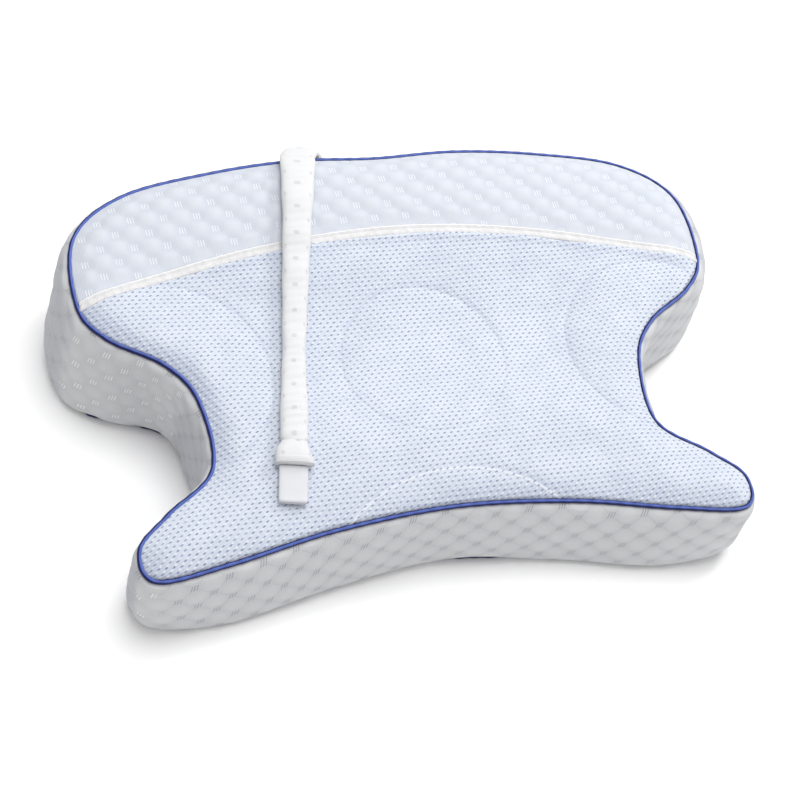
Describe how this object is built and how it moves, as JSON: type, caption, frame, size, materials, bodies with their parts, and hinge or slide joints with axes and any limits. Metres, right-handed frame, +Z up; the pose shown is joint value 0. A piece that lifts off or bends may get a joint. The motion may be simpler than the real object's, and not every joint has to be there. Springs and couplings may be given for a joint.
{
  "type": "memory foam pillow",
  "caption": "Foam head pillow with a waved top, a hollow for the head, side cut-outs, a mesh top, a quilted band, corded edges and a padded tether strap.",
  "frame": {"origin": "centre of the bounding box at the underside, on the plane that the pillow rests on; left and right mirror about x = 0 apart from the strap, a slightly askew seam and the filling", "axes": "+X to the sleeper's right along the long side, +Y towards the high back edge, +Z up"},
  "size_m": [0.5352, 0.3605, 0.1339],
  "materials": {
    "jacquard_cover": "white jacquard knit with woven tack marks",
    "spacer_mesh": "pale blue spacer mesh with small holes",
    "seam_strip_knit": "white folded knit strip with a stitched ridge",
    "piping_blue": "royal blue satin cord sleeve",
    "strap_sleeve": "white padded jacquard sleeve",
    "hook_tab_white": "white woven hook tape"
  },
  "bodies": {
    "root": {"pillow_body": "jacquard_cover", "side_gusset": "jacquard_cover", "base_panel": "jacquard_cover", "top_quilt_panel": "jacquard_cover", "seam_strip": "seam_strip_knit", "top_mesh_panel": "spacer_mesh", "piping_top": "piping_blue", "piping_base": "piping_blue", "tether_strap": "strap_sleeve", "strap_cuff": "strap_sleeve", "hook_tab": "hook_tab_white"}
  },
  "joints": []
}
